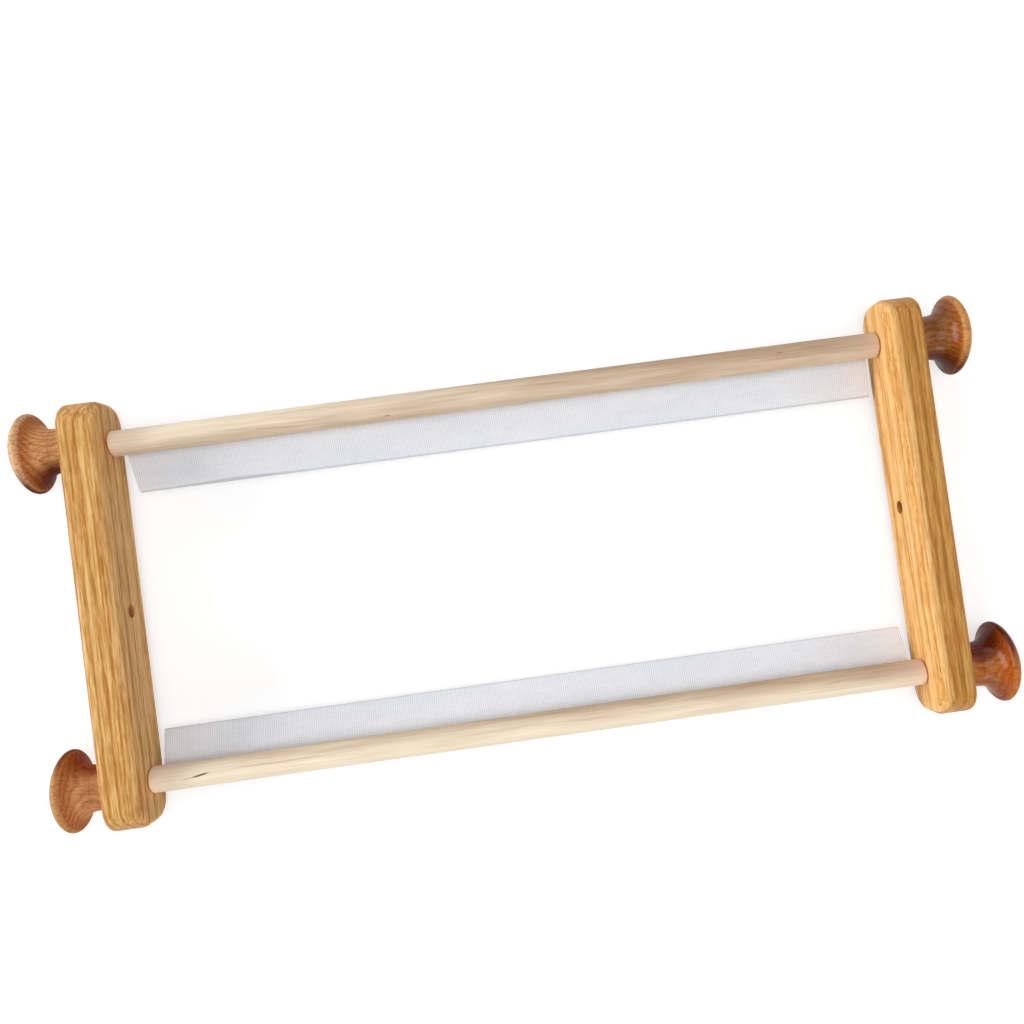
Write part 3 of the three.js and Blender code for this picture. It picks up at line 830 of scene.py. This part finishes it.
def hanger_bolt(name, material):
    """A bolt with a pointed wood thread at one end and a machine thread at the other, its zero at the rod's
    end."""
    machine = MACHINE_PITCH / MACHINE_STEPS
    wood = WOOD_PITCH / WOOD_STEPS
    plain = BOLT_RADIUS - BOLT_PLAIN_DEPTH
    profile = [(-BOLT_WOOD_LENGTH, 0)]
    profile += [(along, BOLT_RADIUS) for along in np.arange(-BOLT_WOOD_LENGTH + wood, -wood, wood)]
    profile += [(0, plain), (BOLT_PLAIN - machine, plain)]
    profile += [(along, BOLT_RADIUS) for along in np.arange(BOLT_PLAIN, BOLT_LENGTH - machine, machine)]
    profile += [(BOLT_LENGTH, BOLT_RADIUS - MACHINE_DEPTH), (BOLT_LENGTH, 0)]
    def shape(along, angle, radius):
        if along < -wood / 2:
            point = min(1.0, (along + BOLT_WOOD_LENGTH) / BOLT_POINT)
            return max(BOLT_TIP_RADIUS, (radius - thread(along, angle, WOOD_PITCH, WOOD_DEPTH)) * point)
        if along < BOLT_PLAIN or radius < BOLT_RADIUS:
            return radius
        run_out = min(1.0, (along - BOLT_PLAIN) / MACHINE_PITCH)
        end = min(1.0, (BOLT_LENGTH - along) / MACHINE_PITCH)
        return radius - MACHINE_CREST - max(
            thread(along, angle, MACHINE_PITCH, MACHINE_DEPTH) * run_out, MACHINE_DEPTH * (1 - end)
        )
    return lathe(name, profile, BOLT_SIDES, material, shape, THREAD_SMOOTH_DEGREES)


def washer(name, material):
    """A flat ring with softened edges, its zero on its inner face."""
    far = WASHER_THICKNESS - WASHER_EDGE
    outer, inner = WASHER_RADIUS - WASHER_EDGE, WASHER_BORE_RADIUS + WASHER_EDGE
    profile = []
    for centre, start in (
        ((WASHER_EDGE, outer), 180), ((far, outer), 90), ((far, inner), 0), ((WASHER_EDGE, inner), -90),
    ):
        profile += arc(centre, WASHER_EDGE, start, start - 90, WASHER_EDGE_STEPS)
    return lathe(name, profile, WASHER_SIDES, material)


def knob_profile():
    """The knob's outline from the bottom of its bore, round its base, neck, flare and rim, to its dome."""
    base = (KNOB_EDGE, KNOB_BASE_RADIUS)
    neck = (KNOB_NECK_HEIGHT, KNOB_NECK_RADIUS)
    flare = (KNOB_FLARE_HEIGHT, KNOB_FLARE_RADIUS)
    rim = (KNOB_RIM_HEIGHT, KNOB_RADIUS)
    bulge = (flare[0] + (rim[0] - flare[0]) / 4, rim[1])
    profile = [
        (KNOB_BORE_DEPTH, 0), (KNOB_BORE_DEPTH, KNOB_BORE_RADIUS), (KNOB_RECESS_DEPTH, KNOB_BORE_RADIUS),
        (KNOB_RECESS_DEPTH, KNOB_RECESS_RADIUS), (0, KNOB_RECESS_RADIUS),
    ]
    profile += arc((KNOB_EDGE, KNOB_BASE_RADIUS - KNOB_EDGE), KNOB_EDGE, 180, 90, KNOB_EDGE_STEPS)
    crease = (neck[0] - KNOB_CREASE, neck[1])
    profile += bend(base, (neck[0] / 2, neck[1]), crease, KNOB_NECK_STEPS)[1:]
    profile += [(neck[0], neck[1] - KNOB_CREASE)]
    start = neck[0] + KNOB_FLARE_SHARE * (flare[0] - neck[0])
    profile += bend((neck[0] + KNOB_CREASE, neck[1]), (start, neck[1]), flare, KNOB_FLARE_STEPS)
    profile += [(flare[0] + KNOB_QUIRK, flare[1] - KNOB_QUIRK / 2)]
    profile += bend((flare[0] + KNOB_QUIRK / 2, flare[1] + KNOB_QUIRK), bulge, rim, KNOB_RIM_STEPS)
    dome = KNOB_HEIGHT - rim[0]
    for turn in np.radians(np.linspace(0, 90, KNOB_DOME_STEPS + 1)[1:-1]):
        profile.append((
            rim[0] + dome * math.sin(turn) ** (2 / KNOB_DOME_POWER),
            rim[1] * math.cos(turn) ** (2 / KNOB_DOME_POWER),
        ))
    return profile + [(KNOB_HEIGHT, 0)]


def knob(name, material):
    """A turned knob with the lathe's faint marks, its zero on its base."""
    def tooled(along, angle, radius):
        if radius <= KNOB_RECESS_RADIUS:
            return radius
        chatter = noise.noise(Vector((
            along * TOOL_MARKS_ALONG, math.cos(angle) * TOOL_MARKS_ROUND, math.sin(angle) * TOOL_MARKS_ROUND,
        )))
        return radius - TOOL_MARK * (1 + chatter)
    return lathe(name, knob_profile(), KNOB_SIDES, material, tooled, KNOB_SMOOTH_DEGREES)


def insert(name, material):
    """A brass tube with a coarse thread outside for the wood and the bolt's own thread inside."""
    coarse = int(INSERT_LENGTH / (INSERT_PITCH / INSERT_STEPS))
    fine = int(INSERT_LENGTH / (MACHINE_PITCH / MACHINE_STEPS))
    outside = [(along, INSERT_RADIUS) for along in np.linspace(0, INSERT_LENGTH, coarse + 1)]
    inside = [(along, INSERT_BORE_RADIUS) for along in np.linspace(INSERT_LENGTH, 0, fine + 1)]
    def shape(along, angle, radius):
        ends = min(1.0, along / MACHINE_PITCH, (INSERT_LENGTH - along) / MACHINE_PITCH)
        if radius > INSERT_BORE_RADIUS:
            return radius - max(thread(along, angle, INSERT_PITCH, INSERT_DEPTH), INSERT_DEPTH * (1 - ends))
        return radius - INSERT_BORE_DEPTH * (1 - thread(along, angle, MACHINE_PITCH, 1.0)) * ends
    return lathe(name, outside + inside, INSERT_SIDES, material, shape, THREAD_SMOOTH_DEGREES)


def lay_at(made, along, row, side):
    """Puts a piece made along +X at one corner, with its zero at a distance along X from the middle."""
    out = 1 if side == "right" else -1
    made.data.transform(Matrix.Rotation(0 if out > 0 else math.pi, 4, "Z"))
    made.location = joint_at[f"{row}_rod_turn"] + Vector((out * along, 0, 0))
    return made


# Woods and materials of this frame

# Each bar's pith, ring width, tones, pores and paler side, as honey_oak takes them. On the right bar that
# side's tones are painted light, which brightens its inner face
BAR_WOOD = {
    "left": (
        (-271.5 * MM, 0, -16.6 * MM), 3.4 * MM, ("#A86D2C", "#BF8742", "#D3A260", "#E6BD7E"), "#965C22",
        (-197 * MM, -190 * MM, ("#B0763A", "#C69050", "#D8A868", "#E8BE84")),
    ),
    "right": (
        (273.5 * MM, 0, -14 * MM), 4.3 * MM, ("#9E672C", "#B07936", "#BD8A47", "#CD9C56"), "#8A5018",
        # Painted light: the right bar's inner face is drawn far paler than its top
        (198.5 * MM, 193 * MM, ("#D0924C", "#E6AC64", "#F5C07A", "#FFD694")),
    ),
}

# The tan share of each rod and the dark streaks in its grain, as sanded_birch takes them
TAN_SHARE = {"upper": (0.64, 0.4, 0.04, 0.5), "lower": (0.36, 0.18, 0.34, 0.12)}
STREAKS = {
    "upper": [
        ((-114, -2.8), 31, 0.4, -3.3, "#A38C6C", 0.5),
        ((-55, -4.3), 2.2, 0.5, -2, "#6E5236", 0.6),
        ((140, 1.3), 2.6, 0.45, 3, "#7A6248", 0.5),
    ],
    "lower": [
        ((-165, 0.3), 5.4, 0.6, 9, "#5A2F24", 0.95),
        ((-172, -0.8), 4.5, 0.4, 4, "#A98E74", 0.5),
        ((-128, 1.3), 32, 0.4, 0, "#B09A7C", 0.45),
        ((146, 2.0), 9, 0.5, 4, "#B4936C", 0.5),
    ],
}

# Each knob's pith (y and z from the knob's axis), the side where painted shade darkens it, the share of that
# painted shade on its neck, and its gloss
KNOB_WOOD = {
    "upper_left": ((26 * MM, -16 * MM), (-0.9, -0.3), 0, 0.04),
    "lower_left": ((-9 * MM, -14 * MM), (0.9, -0.3), 0, 0.04),
    "upper_right": ((-34 * MM, -14 * MM), (-0.9, -0.3), 0.5, 0.35),
    "lower_right": ((20 * MM, -22 * MM), (0.9, 0.2), 0.35, 0.38),
}
# Each knob's pale wood, pores, end grain and rim, and last the colour of its painted shade
KNOB_STAIN_AND_SHADE = {
    "upper_left": ("#ECAE74", "#763C12", "#C08C5A", "#EABC90", "#703210"),
    "lower_left": ("#DE9E68", "#864A20", "#D0A070", "#C48E58", "#B87846"),
    "upper_right": ("#C4803A", "#5A2A04", "#D09656", "#D29454", "#7E4014"),
    "lower_right": ("#D8842E", "#6C3004", "#D69650", "#AE6626", "#803C0E"),
}

cotton = woven_cotton("cotton_tape_bleached")
zinc = worked_metal("steel_zinc_plated", "#C4C8CC", 0.34, 0.6 * MM)
yellow_brass = worked_metal("brass_machined", "#D9B35C", 0.28, 0.5 * MM)
bore_oak = drilled_oak("oak_drilled_raw_and_shaded")


# The frame itself

for side, wood in BAR_WOOD.items():
    side_bar(f"{side}_side_bar", honey_oak(f"oak_planed_satin_{side}", *wood), bore_oak)

for row in ("upper", "lower"):
    rod_end = length_of(f"{row}_rod") / 2
    rod(row, sanded_birch(f"birch_dowel_{row}", rod_end, TAN_SHARE[row], STREAKS[row]))
    webbing(row, cotton)
    for i in range(1, STAPLES_ON_ROD + 1):
        staple(f"{row}_staple_{i}", row, zinc)
    for side in ("left", "right"):
        corner = f"{row}_{side}"
        knob_low, knob_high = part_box(f"{corner}_knob")
        knob_base = min(abs(knob_low.x), abs(knob_high.x))
        bolt = lay_at(hanger_bolt(f"{corner}_threaded_bolt", zinc), rod_end, row, side)
        dress(bolt, f"{corner}_hanger_bolt")
        ring = lay_at(washer(f"{corner}_stamped_washer", zinc), knob_base, row, side)
        dress(ring, f"{corner}_washer")
        recess = knob_base + KNOB_RECESS_DEPTH
        inner = lay_at(insert(f"{corner}_threaded_insert", yellow_brass), recess, row, side)
        dress(inner, f"{corner}_knob_insert")
        pith, *painted_shading, gloss = KNOB_WOOD[corner]
        wood = turned_oak(f"oak_turned_{corner}", (0, *pith), KNOB_STAIN_AND_SHADE[corner], *painted_shading, gloss)
        grip = lay_at(knob(f"{corner}_turned_knob", wood), knob_base, row, side)
        dress(grip, f"{corner}_knob")


# Camera, at the photograph's place: its principal point lies a little right of the middle
IMAGE_SIDE = 1024
CAMERA_PLACE = Vector((6.94, 7.99, 466.39)) * MM
CAMERA_TURN = Vector((0.027048, -0.027719, -0.133607))
CAMERA_FOCAL_PIXELS = 905.9
CAMERA_MIDDLE_PIXEL = (555.6, 514.5)
SENSOR_WIDTH_MM = 36
lens = bpy.data.cameras.new("camera")
lens.sensor_width = SENSOR_WIDTH_MM
lens.lens = CAMERA_FOCAL_PIXELS / IMAGE_SIDE * SENSOR_WIDTH_MM
lens.shift_x = (IMAGE_SIDE / 2 - CAMERA_MIDDLE_PIXEL[0]) / IMAGE_SIDE
lens.shift_y = (CAMERA_MIDDLE_PIXEL[1] - IMAGE_SIDE / 2) / IMAGE_SIDE
lens.clip_start, lens.clip_end = 0.01, 50
camera = bpy.data.objects.new("camera", lens)
camera.location = CAMERA_PLACE
camera.rotation_mode = "QUATERNION"
camera.rotation_quaternion = Quaternion(CAMERA_TURN.normalized(), CAMERA_TURN.length)
bpy.context.scene.collection.objects.link(camera)
bpy.context.scene.camera = camera


# Floor and light

def soft_box(name, place, size, level, colour):
    """A lamp aimed at the frame's middle. level is what it adds to a white card that faces it: 1 is white."""
    lamp = bpy.data.lights.new(name, "AREA")
    lamp.shape = "RECTANGLE"
    lamp.size, lamp.size_y = size
    lamp.energy = level * math.pi ** 2 * Vector(place).length_squared
    lamp.color = linear(colour)[:3]
    made = bpy.data.objects.new(name, lamp)
    made.location = place
    made.rotation_mode = "QUATERNION"
    made.rotation_quaternion = (-Vector(place)).to_track_quat("-Z", "Y")
    bpy.context.scene.collection.objects.link(made)


soft_box("left_low", (-2.0, 0.25, 0.62), (1.6, 0.9), 0.80, "#FFFDF9")
soft_box("right_fill", (1.6, -0.1, 0.75), (1.2, 0.9), 0.24, "#FCFCFF")
soft_box("back_fill", (-0.4, 1.6, 0.8), (1.4, 0.8), 0.22, "#FCFCFF")
soft_box("front_fill", (0.2, -1.7, 0.8), (1.4, 0.8), 0.30, "#FFFFFF")
soft_box("overhead", (0.1, -0.1, 1.8), (1.3, 1.3), 0.40, "#FFFFFF")


def shown_plain(tree):
    """1 for what the camera sees, straight, in a gloss or through glass, and 0 for light on other things."""
    seen = 0
    for ray in ("Is Camera Ray", "Is Glossy Ray", "Is Transmission Ray"):
        seen = add(tree, "Math", {0: add(tree, "LightPath", output=ray), 1: seen}, operation="MAXIMUM")
    return seen


SKY_LIGHT = 0.2  # what the sky adds to the lamps
TABLE_GLOW = 0.55  # how much whiter the table is drawn than the lamps make it
TABLE_RADIUS = 1.25
TABLE_SIDES = 96

world = bpy.data.worlds.new("studio")
bpy.context.scene.world = world
world.use_nodes = True
sky = world.node_tree
sky.nodes["Background"].inputs["Color"].default_value = (1, 1, 1, 1)
brightness = add(sky, "MapRange", {0: shown_plain(sky), 3: SKY_LIGHT, 4: 1.0})
sky.links.new(brightness, sky.nodes["Background"].inputs["Strength"])

# The table is round, and ends where the lamps still light it to white, so that its far edge doesn't show
floor_mesh = bpy.data.meshes.new("table")
rim = [
    (TABLE_RADIUS * math.cos(a), TABLE_RADIUS * math.sin(a), 0)
    for a in np.arange(TABLE_SIDES) * TURN / TABLE_SIDES
]
floor_mesh.from_pydata(rim, [], [range(TABLE_SIDES)])
table, tree, shader = start_material(
    "table_matt_pale", Base_Color="#C8C8C8", Roughness=0.9, Specular_IOR_Level=0.1
)
shader.inputs["Emission Color"].default_value = (1, 1, 1, 1)
glow = add(tree, "MapRange", {0: shown_plain(tree), 4: TABLE_GLOW})
tree.links.new(glow, shader.inputs["Emission Strength"])
floor_mesh.materials.append(table)
floor = bpy.data.objects.new("table", floor_mesh)
bpy.context.scene.collection.objects.link(floor)

bpy.context.scene.view_settings.view_transform = "Standard"
